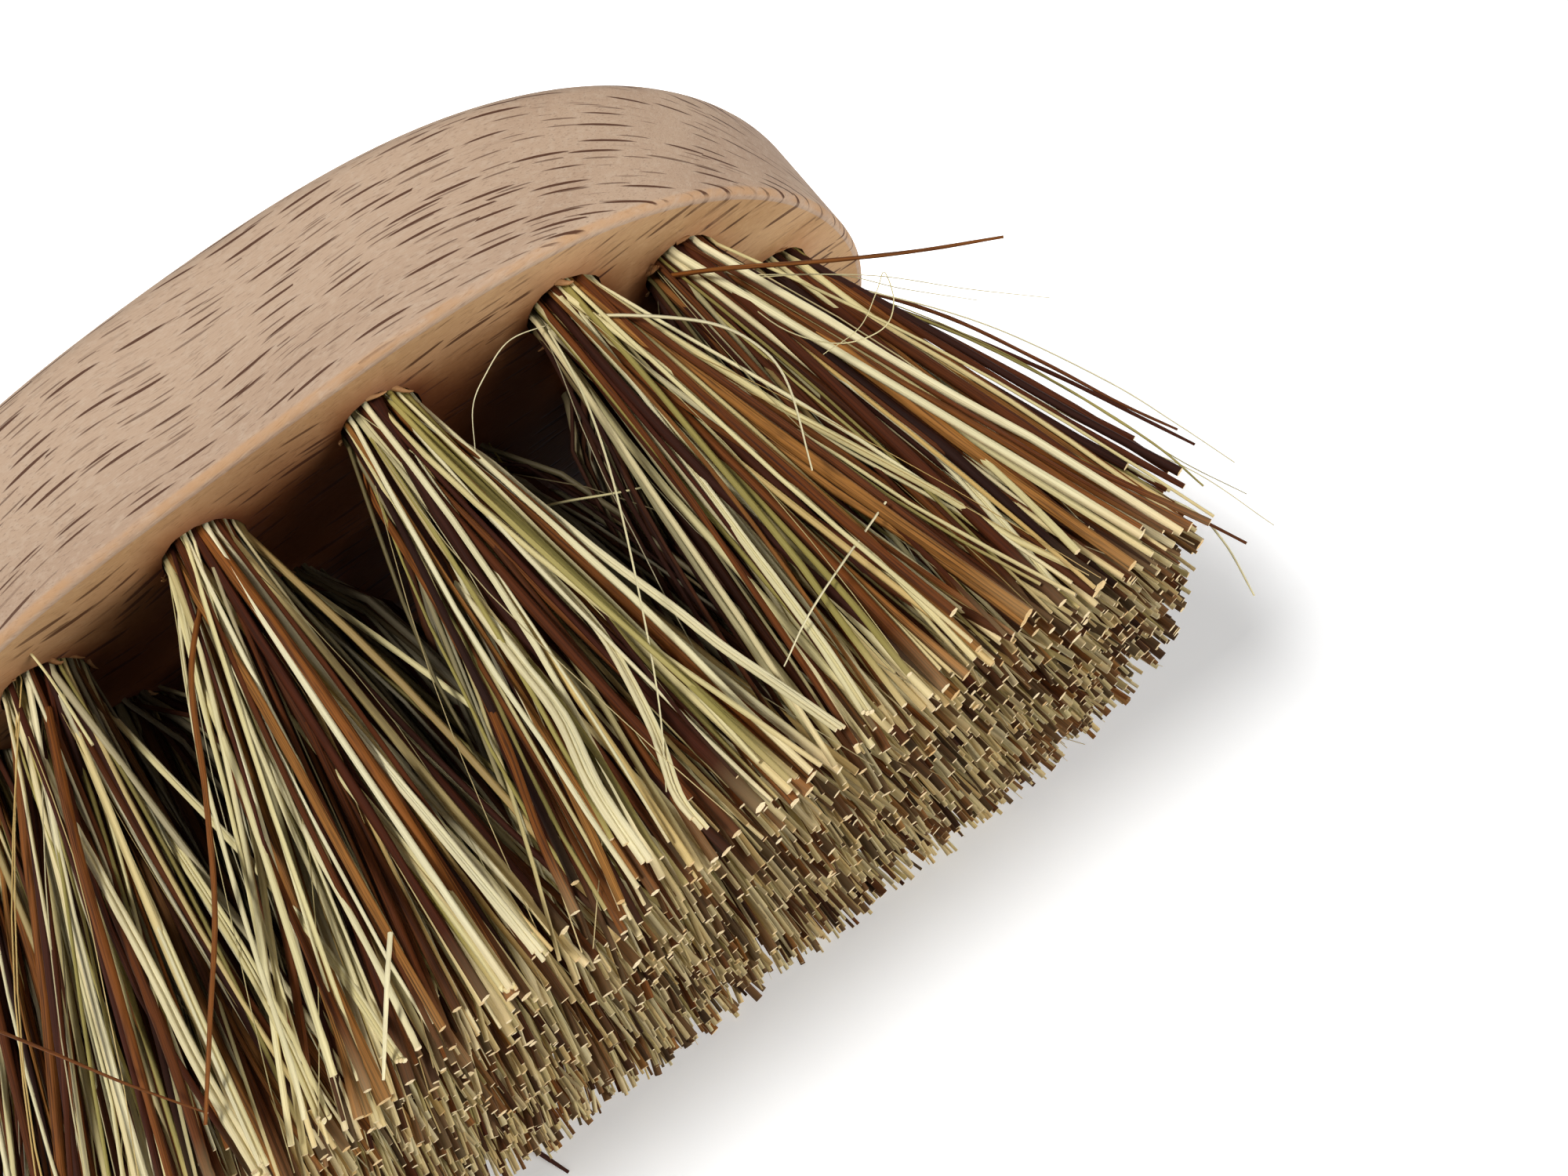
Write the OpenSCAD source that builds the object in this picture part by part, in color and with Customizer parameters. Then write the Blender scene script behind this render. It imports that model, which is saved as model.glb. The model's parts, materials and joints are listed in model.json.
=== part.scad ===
// Hand scrub brush: an oval wooden block with an arched back, drilled from below,
// and tufts of stiff plant fibre stapled into its holes.
// Origin: middle of the flat trim of the bristles. X runs along the block, Z up, bristles down.

/* [Block] */
// Length of the block
block_l = 94; // [90:0.5:104]
// Width of the block
block_w = 63; // [60:0.5:70]
// Thickness of the block at its middle
block_t = 16.25; // [15:0.25:21]
// Thickness of the block at its two ends
end_t = 11.5; // [10:0.25:14]
// How square the long way of the outline is
plan_square_x = 3.25; // [3:0.05:3.8]
// How full the cross way of the outline is
plan_square_y = 1.85; // [1.6:0.05:2.1]
// Rounding of the lower edge
low_round = 1.2; // [0.5:0.1:2]
// Rounding of the upper edge
top_round = 1.9; // [1:0.1:3.5]
// Rise of the back from its edge to its middle line
back_crown = 1.4; // [0.4:0.1:3]

/* [Holes] */
// Diameter of each tuft hole
hole_d = 6.4; // [5.6:0.1:7]
// Depth of each tuft hole
hole_depth = 8; // [6.5:0.1:8.5]
// Spacing of the four columns of holes, as a share of the block's length
column_share = 0.1635; // [0.152:0.0005:0.172]
// Distance from the outline to the outer ring of holes
edge_margin = 6.8; // [6.3:0.1:7.8]
// Place of the shoulder holes round the end, as an angle from the end point
shoulder_angle = 46; // [43:0.5:49]
// Place of the end holes round the end, as an angle from the end point
end_angle = 18.5; // [17:0.5:21]
// Distance from the end of the ring back to the hole on the middle line
heel_back = 8.6; // [8:0.1:9.2]
// How far the end holes are drilled outward, in degrees
end_lean = 10; // [4:0.5:14]
// How far the side holes are drilled outward, in degrees
side_lean = 5; // [0:0.5:9]

/* [Bristles] */
// Free length of the bristles below the block
bristle_l = 41; // [30:0.5:50]
// Number of strands in a tuft
strands = 16; // [10:1:16]
// Width of a strand where it is free
strand_w = 1.1; // [0.8:0.05:1.2]
// Width of a strand where it is packed in its hole
packed_w = 0.9; // [0.7:0.05:1]
// Widest reach of a tuft's tips from its own axis
fan_reach = 7.6; // [4:0.1:9]
// Room left between the tips of neighbouring tufts
fan_gap = 0.4; // [0.2:0.1:1.5]
// Clearance round the packed root of a tuft in its hole
root_clearance = 0.05; // [0.02:0.01:0.1]
// How far the packed root stands out of its hole
root_stand = 0.9; // [0.7:0.05:1.5]

/* [Staples] */
// Width of a staple across its two legs
staple_w = 5; // [4.4:0.1:5.2]
// Thickness of the staple wire
wire = 0.8; // [0.6:0.05:1]
// Fibre folded between the staple and the bottom of the hole
fold_t = 1.6; // [1:0.1:2.5]
// How deep the staple legs bite into the wood past the hole
leg_bite = 2; // [1:0.1:2.2]

/* [Hidden] */
half_l = block_l / 2;
half_w = block_w / 2;
ring_l = half_l - edge_margin;
ring_w = half_w - edge_margin;
under_z = bristle_l;
outline_steps = 96;
low_steps = 3;
top_steps = 4;
crown_scales = [0.86, 0.66, 0.42, 0.18];
bend_at = 0.5;
bend_share = 0.4;
root_embed = 0.6;
golden_angle = 137.508;
strand_sides = 3;
hole_overcut = 2;
wood = [0.78, 0.65, 0.53];
fibre = [0.66, 0.56, 0.36];
steel = [0.72, 0.72, 0.74];

// Places of the holes over one quarter of the block, as [x, y]
column_pitch = block_l * column_share;
column_1 = column_pitch / 2;
column_2 = column_pitch * 3 / 2;
shoulder = plan_point(shoulder_angle, edge_margin);
end_hole = plan_point(end_angle, edge_margin);
outer_1 = ring_y(column_1);
outer_2 = ring_y(column_2);

// Each row: the name of a tuft and the place of its hole
TUFTS = concat(
    row("front_tuft", [-column_2, -column_1, column_1, column_2], [-outer_2, -outer_1, -outer_1, -outer_2]),
    row("front_inner_tuft", [-column_2, -column_1, column_1, column_2], [-outer_2, -outer_1, -outer_1, -outer_2] / 2),
    row("centre_tuft", [-column_2, -column_1, column_1, column_2], [0, 0, 0, 0]),
    row("rear_inner_tuft", [-column_2, -column_1, column_1, column_2], [outer_2, outer_1, outer_1, outer_2] / 2),
    row("rear_tuft", [-column_2, -column_1, column_1, column_2], [outer_2, outer_1, outer_1, outer_2]),
    row("right_end_tuft", end_x(1), end_y()),
    row("left_end_tuft", end_x(-1), end_y())
);
TUFT_NAMES = [for (t = TUFTS) t[0]];

// A row of named tufts from its places along and across
function row(name, xs, ys) = [for (k = [0:len(xs) - 1]) [str(name, "_", k + 1), xs[k], ys[k]]];
function end_x(side) = side * [shoulder[0], end_hole[0], ring_l - heel_back, end_hole[0], shoulder[0]];
function end_y() = [-shoulder[1], -end_hole[1], 0, end_hole[1], shoulder[1]];

// Signed power, for the rounded outline
function spow(v, e) = sign(v) * pow(abs(v), e);

// Point of the outline at an angle, moved in by inset
function plan_point(t, inset) = [
    (half_l - inset) * spow(cos(t), 2 / plan_square_x),
    (half_w - inset) * spow(sin(t), 2 / plan_square_y)
];

// Half width of the ring of holes at a place along the block
function ring_y(x) = ring_w * pow(1 - pow(abs(x) / ring_l, plan_square_x), 1 / plan_square_y);

// Height of the arched back's edge at a place along the block
function back_z(x) = under_z + end_t + (block_t - end_t) * (1 - pow(x / half_l, 2));

// Slope of a hole, as sideways travel for each unit down
function lean_of(t) = [tan(end_lean) * t[1] / ring_l, tan(side_lean) * t[2] / ring_w];

// Middle of a tuft at a height
function middle_at(t, z) = [t[1], t[2]] + lean_of(t) * (under_z - z);

// How far a tuft's tips spread along and across: up to half way to the tips of the tufts
// beside it and of those before and behind it, so that no two tufts cross
function fan_of(t) = [fan_limit(beside(t)), fan_limit(before(t))];
function fan_limit(gaps) = min(fan_reach, min(gaps) / 2 - strand_w / 2 - fan_gap / 2);
function tip_steps(t) = [
    for (o = TUFTS)
        let (d = middle_at(t, 0) - middle_at(o, 0))
        if (norm(d) > hole_d / 2) d
];
function beside(t) = [for (d = tip_steps(t)) if (abs(d[0]) > abs(d[1])) abs(d[0])];
function before(t) = [for (d = tip_steps(t)) if (abs(d[0]) <= abs(d[1])) abs(d[1])];

// One ring of the block: the outline moved in, with a height for each point
function ring_low(a) = [
    for (k = [0:outline_steps - 1])
        let (p = plan_point(k * 360 / outline_steps, low_round * (1 - sin(a))))
        [p[0], p[1], under_z + low_round * (1 - cos(a))]
];
function ring_top(a) = [
    for (k = [0:outline_steps - 1])
        let (p = plan_point(k * 360 / outline_steps, top_round * (1 - cos(a))))
        [p[0], p[1], back_z(p[0]) - top_round * (1 - sin(a))]
];
function ring_crown(s) = [
    for (k = [0:outline_steps - 1])
        let (p = s * plan_point(k * 360 / outline_steps, top_round))
        [p[0], p[1], back_z(p[0]) + back_crown * (1 - s * s)]
];

// Triangles between ring r and the next one, for rings of n points
function band(r, n) = [
    for (k = [0:n - 1])
        for (f = [[r * n + k, r * n + (k + 1) % n, (r + 1) * n + (k + 1) % n],
                  [r * n + k, (r + 1) * n + (k + 1) % n, (r + 1) * n + k]])
            [f[2], f[1], f[0]]
];

// The sculpted body before drilling: rings from the flat underside over the wall to the back
module block_body() {
    rings = concat(
        [for (k = [0:low_steps]) ring_low(90 * k / low_steps)],
        [for (k = [0:top_steps]) ring_top(90 * k / top_steps)],
        [for (s = crown_scales) ring_crown(s)]
    );
    n = outline_steps;
    last = len(rings);
    top_point = [0, 0, back_z(0) + back_crown];
    points = concat([for (r = rings) each r], [top_point]);
    under = [[for (k = [0:n - 1]) k]];
    sides = [for (r = [0:last - 2]) each band(r, n)];
    cap = [for (k = [0:n - 1]) [last * n, (last - 1) * n + (k + 1) % n, (last - 1) * n + k]];
    polyhedron(points = points, faces = concat(under, sides, cap));
}

// Puts a child at a hole: its Z runs up the hole from the middle of the mouth
module at_hole(t) {
    lean = lean_of(t);
    tilt = atan(norm(lean));
    side = atan2(lean[1], lean[0]);
    translate([t[1], t[2], under_z]) rotate([0, -tilt, side]) rotate([0, 0, -side]) children();
}

// Wire staple standing in a hole, legs up into the wood, each cut to a point
module staple() {
    crown_z = hole_depth - fold_t - wire;
    leg_z = hole_depth + leg_bite;
    inner = staple_w / 2 - wire;
    outer = staple_w / 2;
    rotate([90, 0, 0])
        linear_extrude(wire, center = true)
            polygon([
                [-outer, crown_z], [outer, crown_z], [outer, leg_z - wire], [inner, leg_z],
                [inner, crown_z + wire], [-inner, crown_z + wire], [-inner, leg_z], [-outer, leg_z - wire]
            ]);
}

module block() {
    color(wood)
        difference() {
            block_body();
            for (t = TUFTS)
                at_hole(t) {
                    translate([0, 0, -hole_overcut])
                        cylinder(d = hole_d, h = hole_depth + hole_overcut, $fn = 48);
                    staple();
                }
        }
}

module staples() {
    color(steel)
        for (t = TUFTS) at_hole(t) staple();
}

// A way out from the axis, stretched along and across
function spread(way, reach) = [way[0] * reach[0], way[1] * reach[1]];

// Three corners of a strand's section
function section(c, z, w, turn) = [
    for (k = [0:strand_sides - 1])
        [c[0] + w / 2 * cos(turn + k * 360 / strand_sides), c[1] + w / 2 * sin(turn + k * 360 / strand_sides), z]
];

// One strand of a tuft: from inside the packed root, through a bend, to the flat trim
module strand(t, k) {
    turn = k * golden_angle;
    way = sqrt((k + 0.5) / strands) * [cos(turn), sin(turn)];
    packed = [1, 1] * (hole_d / 2 - root_clearance - packed_w / 2);
    fan = fan_of(t);
    bent = packed + (fan - packed) * bend_share;
    root_z = under_z + root_embed;
    bend_z = under_z * (1 - bend_at);
    n = strand_sides;
    points = concat(
        section(middle_at(t, 0) + spread(way, fan), 0, strand_w, turn),
        section(middle_at(t, bend_z) + spread(way, bent), bend_z, strand_w, turn),
        section(middle_at(t, root_z) + spread(way, packed), root_z, packed_w, turn)
    );
    faces = concat([[for (i = [0:n - 1]) i]], band(0, n), band(1, n), [[for (i = [n - 1:-1:0]) 2 * n + i]]);
    polyhedron(points = points, faces = faces);
}

// A tuft: its packed root, folded round the staple, and the strands that fan out of it
module tuft(t) {
    difference() {
        at_hole(t)
            translate([0, 0, -root_stand])
                cylinder(d = hole_d - 2 * root_clearance, h = hole_depth + root_stand, $fn = 48);
        at_hole(t) staple();
    }
    for (k = [0:strands - 1]) strand(t, k);
}

// The four quarters of the brush mirror each other
module placed_tuft(t) {
    color(fibre)
        mirror([t[1] < 0 ? 1 : 0, 0, 0])
            mirror([0, t[2] < 0 ? 1 : 0, 0])
                tuft([t[0], abs(t[1]), abs(t[2])]);
}

block();
staples();
for (t = TUFTS) placed_tuft(t);
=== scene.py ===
import json
import math
import random

import bpy
import numpy as np
from mathutils import Matrix, Vector
from mathutils.geometry import delaunay_2d_cdt

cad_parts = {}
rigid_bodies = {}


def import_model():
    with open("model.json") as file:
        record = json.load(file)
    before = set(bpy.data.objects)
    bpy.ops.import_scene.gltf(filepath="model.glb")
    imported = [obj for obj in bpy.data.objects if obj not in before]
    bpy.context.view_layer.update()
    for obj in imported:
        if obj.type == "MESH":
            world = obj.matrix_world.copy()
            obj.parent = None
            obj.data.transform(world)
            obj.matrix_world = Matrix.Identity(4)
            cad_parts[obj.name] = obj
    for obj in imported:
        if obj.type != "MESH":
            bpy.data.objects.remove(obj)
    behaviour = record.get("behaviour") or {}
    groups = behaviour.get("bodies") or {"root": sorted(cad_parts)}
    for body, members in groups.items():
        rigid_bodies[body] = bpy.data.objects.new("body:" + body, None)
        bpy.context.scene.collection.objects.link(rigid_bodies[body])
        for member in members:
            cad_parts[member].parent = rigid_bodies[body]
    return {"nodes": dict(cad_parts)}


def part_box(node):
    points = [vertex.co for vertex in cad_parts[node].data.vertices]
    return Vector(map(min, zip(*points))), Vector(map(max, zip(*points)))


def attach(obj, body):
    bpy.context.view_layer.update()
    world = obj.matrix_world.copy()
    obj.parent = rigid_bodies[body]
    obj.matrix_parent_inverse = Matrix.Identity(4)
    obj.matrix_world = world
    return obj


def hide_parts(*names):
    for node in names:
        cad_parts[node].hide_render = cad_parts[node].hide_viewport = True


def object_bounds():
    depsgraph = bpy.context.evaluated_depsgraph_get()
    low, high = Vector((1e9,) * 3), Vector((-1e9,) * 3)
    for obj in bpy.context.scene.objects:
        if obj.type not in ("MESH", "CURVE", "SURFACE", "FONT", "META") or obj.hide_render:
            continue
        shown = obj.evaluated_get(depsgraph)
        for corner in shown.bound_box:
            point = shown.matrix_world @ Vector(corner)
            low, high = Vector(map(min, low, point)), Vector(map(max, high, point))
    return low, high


MM = 0.001
TURN = 2 * math.pi
random.seed(7)

# Blender's start-up objects go before the frame is loaded
for stale in list(bpy.data.objects):
    bpy.data.objects.remove(stale)
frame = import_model()
cad_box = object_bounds()
nodes = frame["nodes"]

# ---------------------------------------------------------------- sizes from the frame
block_lo, block_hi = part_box("block")
UNDER_Z = block_lo.z              # the block's flat underside
HALF_L = block_hi.x
HALF_W = block_hi.y
HOLE_R = 3.2 * MM
ON_PLANE = 0.01 * MM              # a point this near to a plane counts as lying on it
MOUTH_SHARE = 0.855               # how far out a mouth lies, as a share of its tips' place
MOUTH_SEARCH = 4.6 * MM           # the points of a mouth's rim lie within this of that place
RIM_SEARCH = HOLE_R * 1.15
TUFTS = sorted(n for n in nodes if "tuft" in n)


def verts_of(name):
    data = nodes[name].data.vertices
    co = np.empty(len(data) * 3)
    data.foreach_get("co", co)
    return co.reshape(-1, 3)


def middle_of(points):
    return (points.min(0) + points.max(0)) / 2


# The flat underside's own points, the rims of the drilled holes among them
under = verts_of("block")
under = under[np.abs(under[:, 2] - UNDER_Z) < ON_PLANE][:, :2]


def under_near(place, reach):
    return under[np.hypot(*(under - place).T) < reach]


def place_of(name):
    """Mouth centre and tip centre of a tuft, read from its CAD solid and the block's holes."""
    tips = verts_of(name)
    tip = middle_of(tips[tips[:, 2] < ON_PLANE][:, :2])
    mouth = middle_of(under_near(tip * MOUTH_SHARE, MOUTH_SEARCH))
    mouth = middle_of(under_near(mouth, RIM_SEARCH))
    return {"name": name, "mouth": mouth, "tip": tip}


PLACES = [place_of(n) for n in TUFTS]


def hole_distance(x, y):
    return min(np.hypot(x - p["mouth"][0], y - p["mouth"][1]) for p in PLACES)


def clamp(value):
    return min(1.0, max(0.0, value))


# ---------------------------------------------------------------- camera
# The photograph looks up at the brush lying on its side, from below the plane of its tips
PHOTO_W, PHOTO_H = 2000, 1500
SENSOR = 36.0
CAM_LENS = 36.0
CAM_TARGET = Vector((24.17, 0, 21.18)) * MM
CAM_AZ, CAM_EL, CAM_ROLL = (math.radians(v) for v in (-2.47, -18.62, -37.5))
CAM_DISTANCE = 129.13 * MM
sight = Vector((-math.sin(CAM_AZ) * math.cos(CAM_EL), math.cos(CAM_AZ) * math.cos(CAM_EL),
                -math.sin(CAM_EL)))
level = sight.cross(Vector((0, 0, 1))).normalized()
upright = level.cross(sight)
cam_right = level * math.cos(CAM_ROLL) + upright * math.sin(CAM_ROLL)
cam_up = upright * math.cos(CAM_ROLL) - level * math.sin(CAM_ROLL)
camera = bpy.data.objects.new("camera", bpy.data.cameras.new("camera"))
bpy.context.scene.collection.objects.link(camera)
camera.data.lens = CAM_LENS
camera.data.sensor_width = SENSOR
camera.data.clip_start = 0.005
camera.data.clip_end = 20
camera.matrix_world = Matrix((cam_right, cam_up, -sight)).transposed().to_4x4()
camera.matrix_world.translation = CAM_TARGET - sight * CAM_DISTANCE
bpy.context.scene.camera = camera


# ---------------------------------------------------------------- materials
def srgb(text):
    """A colour of six hex digits as linear values, with alpha."""
    values = [int(text[i:i + 2], 16) / 255 for i in (0, 2, 4)]
    return [v / 12.92 if v <= 0.04045 else ((v + 0.055) / 1.055) ** 2.4 for v in values] + [1.0]


class Net:
    """Short calls for building the node tree of a material or of the world."""

    def __init__(self, owner):
        self.owner = owner
        owner.use_nodes = True
        self.nodes, self.links = owner.node_tree.nodes, owner.node_tree.links
        self.nodes.clear()

    def put(self, socket, value):
        """Links a socket to an output, or writes a plain value or a colour in hex digits on it."""
        if isinstance(value, bpy.types.NodeSocket):
            self.links.new(value, socket)
        elif value is not None:
            socket.default_value = srgb(value) if isinstance(value, str) else value

    def new(self, kind, inputs=None, **settings):
        n = self.nodes.new(kind)
        for key, value in settings.items():
            setattr(n, key, value)
        for key, value in (inputs or {}).items():
            self.put(n.inputs[key], value)
        return n

    def math(self, op, a, b=None):
        return self.new("ShaderNodeMath", {0: a, 1: b}, operation=op).outputs[0]

    def times(self, a, b):
        return self.math("MULTIPLY", a, b)

    def plus(self, a, b):
        return self.math("ADD", a, b)

    def without(self, mask, amount):
        """1, less the given amount where the mask is full."""
        return self.math("SUBTRACT", 1.0, self.times(mask, amount))

    def vmath(self, op, a, b=None):
        n = self.new("ShaderNodeVectorMath", {0: a, 1: b}, operation=op)
        return n.outputs["Value" if op in ("DOT_PRODUCT", "LENGTH") else 0]

    def component(self, vector, axis):
        return self.new("ShaderNodeSeparateXYZ", {0: vector}).outputs[axis]

    def attribute(self, name, out="Fac"):
        return self.new("ShaderNodeAttribute", attribute_name=name).outputs[out]

    def noise(self, vector, scale, detail, rough=0.5, out="Fac"):
        inputs = {"Vector": vector, "Scale": scale, "Detail": detail, "Roughness": rough}
        return self.new("ShaderNodeTexNoise", inputs).outputs[out]

    def grain(self, vector, stretch, detail, rough, scale=1.0):
        """Noise with its own scale along each axis."""
        return self.noise(self.vmath("MULTIPLY", vector, stretch), scale, detail, rough)

    def step(self, value, lo, hi, flip=False):
        """0 below lo and 1 above hi, with a smooth rise between them, or the other way round."""
        inputs = {"Value": value, "From Min": lo, "From Max": hi,
                  "To Min": 1.0 if flip else 0.0, "To Max": 0.0 if flip else 1.0}
        return self.new("ShaderNodeMapRange", inputs, interpolation_type="SMOOTHSTEP").outputs[0]

    def mix(self, share, a, b, mode="MIX"):
        n = self.new("ShaderNodeMix", data_type="RGBA", blend_type=mode)
        for socket, value in ((0, share), (6, a), (7, b)):
            self.put(n.inputs[socket], value)
        return n.outputs[2]

    def ramp(self, value, stops):
        n = self.new("ShaderNodeValToRGB", {0: value})
        e = n.color_ramp.elements
        while len(e) < len(stops):
            e.new(0.5)
        for i, (at, colour) in enumerate(stops):
            e[i].position = at
            e[i].color = srgb(colour)
        return n.outputs[0]

    def end(self, kind, shader):
        self.new(kind, {0: shader})

    def finish(self, colour, roughness, height, distance, strength, uniform):
        """A surface with its bump; uniform values stay on the shader's own sockets."""
        bump = self.new("ShaderNodeBump", {"Height": height, "Distance": distance, "Strength": strength})
        inputs = {"Base Color": colour, "Roughness": roughness, "Normal": bump.outputs[0], **uniform}
        self.end("ShaderNodeOutputMaterial", self.new("ShaderNodeBsdfPrincipled", inputs).outputs[0])
        return self.owner


# The wood's own axes: grain along X, and the plane of the rays tipped over by RAY_TILT
RAY_TILT = math.radians(31)
RAY_NORMAL = (0.0, math.sin(RAY_TILT), math.cos(RAY_TILT))
FLECK_STEP = (5.0, 3.8, 1.05)     # mm between flecks: along the grain, along the ray, across it
FLECK_SIZE = (2.6, 2.1, 0.11)     # mm, half sizes of a fleck
FLECK_EDGE = (0.72, 1.02)         # where a fleck fades out, in its own half sizes
FLECK_SCATTER = 0.7
# Two layers of flecks: size, shift in mm, the draws over which they come in, and how dark they are
FLECK_LAYERS = [(1.0, (0, 0, 0), (0.05, 0.3), 1.0), (0.62, (17.3, 5.1, 9.7), (0.45, 0.75), 0.7)]
GRAIN_WANDER = (0, 3, 3)          # mm
# Colours of the painted highlight along the lower edge, and of the warm and deep painted shade between the
# tufts
EDGE_GLINT, WARM_WOOD_SHADE, DEEP_WOOD_SHADE = "BA8C5C", "B47A30", "34140A"
# Lighter trimmed ends, and the colour of the painted shade deep inside the brush
BLEACHED, FIBRE_SHADE_COLOUR = "F2D49A", "260E04"
SHINE = "Specular IOR Level"


def fleck_mask(n, p):
    """Lens-shaped flecks round scattered points, in mm along the wood's own axes."""
    masks = []
    for grow, shift, draws, depth in FLECK_LAYERS:
        size = [s * grow for s in FLECK_STEP]
        q = n.vmath("DIVIDE", n.vmath("ADD", p, shift), tuple(size))
        cell = n.new("ShaderNodeTexVoronoi", {"Vector": q, "Scale": 1, "Randomness": FLECK_SCATTER},
                     feature="F1").outputs
        away = n.vmath("SUBTRACT", q, cell["Position"])
        away = n.vmath("MULTIPLY", away, tuple(a / (b * grow) for a, b in zip(size, FLECK_SIZE)))
        draw = n.new("ShaderNodeSeparateColor", {0: cell["Color"]}).outputs[0]
        shape = n.step(n.vmath("LENGTH", away), *FLECK_EDGE, flip=True)
        masks.append(n.times(n.times(shape, n.step(draw, *draws)), depth))
    return n.math("MAXIMUM", *masks)


def wood(name, light, dark, fleck, pale, edge_glint=0.0):
    n = Net(bpy.data.materials.new(name))
    here = n.new("ShaderNodeTexCoord").outputs["Object"]
    p = n.new("ShaderNodeMapping", {"Vector": here, "Rotation": (RAY_TILT, 0, 0), "Scale": (1 / MM,) * 3},
              vector_type="POINT").outputs[0]
    # Slow wander of the grain
    wander = n.vmath("SUBTRACT", n.noise(p, 0.05, 1, out="Color"), (0.5, 0.5, 0.5))
    p = n.vmath("ADD", p, n.vmath("MULTIPLY", wander, GRAIN_WANDER))
    # Where the surface lies in the plane of the rays, a fleck would show its whole face: it fades
    # there. On the back of the block the cut is nearer to flat-sawn, and the flecks are weaker.
    normal = n.new("ShaderNodeNewGeometry").outputs["Normal"]
    up = n.component(normal, 2)
    flat_on = n.math("ABSOLUTE", n.vmath("DOT_PRODUCT", normal, RAY_NORMAL))
    flecks = n.times(fleck_mask(n, p), n.without(n.step(flat_on, 0.84, 0.96), 0.88))
    flecks = n.times(flecks, n.without(n.step(up, 0.5, 0.9), 0.45))
    fine = n.grain(p, (0.7, 6.0, 6.0), 4, 0.6, scale=1.6)
    pores = n.grain(p, (0.9, 9.0, 9.0), 2, 0.6)
    mottle = n.grain(p, (1.2, 2.4, 2.4), 3, 0.65)
    rings = n.grain(p, (0.012, 0.16, 0.05), 2, 0.5)
    base = n.mix(n.step(rings, 0.35, 0.65), light, dark)
    for pattern, lo, hi, colour in ((fine, 0.42, 0.75, dark), (mottle, 0.45, 0.7, pale),
                                    (pores, 0.56, 0.7, fleck)):
        base = n.mix(n.times(n.step(pattern, lo, hi), 0.3), base, colour)
    # Painted highlight: the rounded lower edge is lighter and warmer, in patches, standing in for light
    # catching the rounding
    down = n.times(up, -1.0)
    edge = n.times(n.step(down, 0.08, 0.4), n.step(down, 0.8, 0.99, flip=True))
    glint_patches = n.times(n.step(n.grain(p, (0.25, 0.8, 0.8), 3, 0.6), 0.25, 0.6), edge_glint)
    base = n.mix(n.times(edge, glint_patches), base, EDGE_GLINT)
    base = n.mix(n.times(flecks, 0.97), base, fleck)
    # Painted shade: the raw wood between the tufts and up the holes darkens inward, first warmer, then deep
    # brown
    inner = n.attribute("inner")
    base = n.mix(n.times(inner, 0.95), base, WARM_WOOD_SHADE, "MULTIPLY")
    base = n.mix(n.times(n.times(inner, inner), 0.7), base, DEEP_WOOD_SHADE)
    rough = n.plus(n.times(fine, 0.15), 0.58)
    height = n.math("SUBTRACT", n.times(fine, 0.25), n.plus(flecks, n.times(pores, 0.4)))
    return n.finish(base, rough, height, 0.12 * MM, 0.45, {SHINE: 0.22})


def fibre(name, stops, speck, rough, shine=0.4, streak=0.35):
    """A strand's material: its colour from the strand's own tone, streaked along its length."""
    n = Net(bpy.data.materials.new(name))
    around = n.attribute("grain", "Vector")
    along = n.grain(around, (2.3, 2.1, 80.0), 3, 0.65)
    blotch = n.grain(around, (1.0, 0.5, 260.0), 2, 0.5)
    base = n.ramp(n.attribute("tone"), stops)
    base = n.mix(n.times(n.step(along, 0.42, 0.7), streak), base, speck)
    base = n.mix(n.times(n.step(blotch, 0.5, 0.8), streak * 0.7), base, speck)
    # Bleached towards the trimmed ends, and painted shade deep inside the brush and up towards the block
    base = n.mix(n.times(n.attribute("bleach"), 0.8), base, BLEACHED)
    base = n.mix(n.attribute("stain"), base, FIBRE_SHADE_COLOUR)
    roughness = n.plus(n.times(along, 0.2), rough)
    return n.finish(base, roughness, along, 0.08 * MM, 0.6, {SHINE: shine})


# The block's materials and the fibres', by their slots
WALL, RAW, UNDERSIDE = range(3)
WOODS = [
    wood("beech", "BFA38A", "AF927A", "4C2B19", "CEB9A3", edge_glint=0.6),
    wood("beech_torn", "BC9162", "93683E", "4A2A15", "CBA678"),
    # The underside's warmer tone is partly the raw sawn wood and partly painted light, standing in for warm
    # light bounced up from the fibres
    wood("beech_underside", "C9A278", "B28A5E", "54331D", "D2AE84", edge_glint=0.5),
]
PALE, OLIVE, BROWN, DARK, CUT = range(5)
FIBRES = [
    fibre("fibre_pale", [(0.0, "D2C084"), (0.3, "EBDDA2"), (0.65, "F6ECC2"), (0.85, "E8D08E"),
                         (1.0, "D8B064")], "9C8648", 0.42),
    fibre("fibre_olive", [(0.0, "7E7036"), (0.5, "A4964E"), (1.0, "BCAC66")], "5E4F22", 0.45),
    fibre("fibre_brown", [(0.0, "4C2408"), (0.4, "703A10"), (0.75, "8E5420"), (1.0, "AC7638")],
          "280F03", 0.6, shine=0.2, streak=0.95),
    fibre("fibre_dark", [(0.0, "240C03"), (0.5, "451B07"), (1.0, "60300F")],
          "150602", 0.6, shine=0.15, streak=0.7),
    fibre("fibre_cut_end", [(0.0, "DABC86"), (0.5, "F2DFB4"), (1.0, "D2AA6C")], "A07C4A", 0.7),
]


def wire():
    n = Net(bpy.data.materials.new("staple_wire_finish"))
    drawn = n.noise(n.new("ShaderNodeTexCoord").outputs["Object"], 3000, 4, 0.6)
    colour = n.ramp(drawn, [(0.3, "9A9A9C"), (0.7, "BDBDC0")])
    return n.finish(colour, n.plus(n.times(drawn, 0.2), 0.25), drawn, 0.03 * MM, 0.3, {"Metallic": 1.0})


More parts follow.
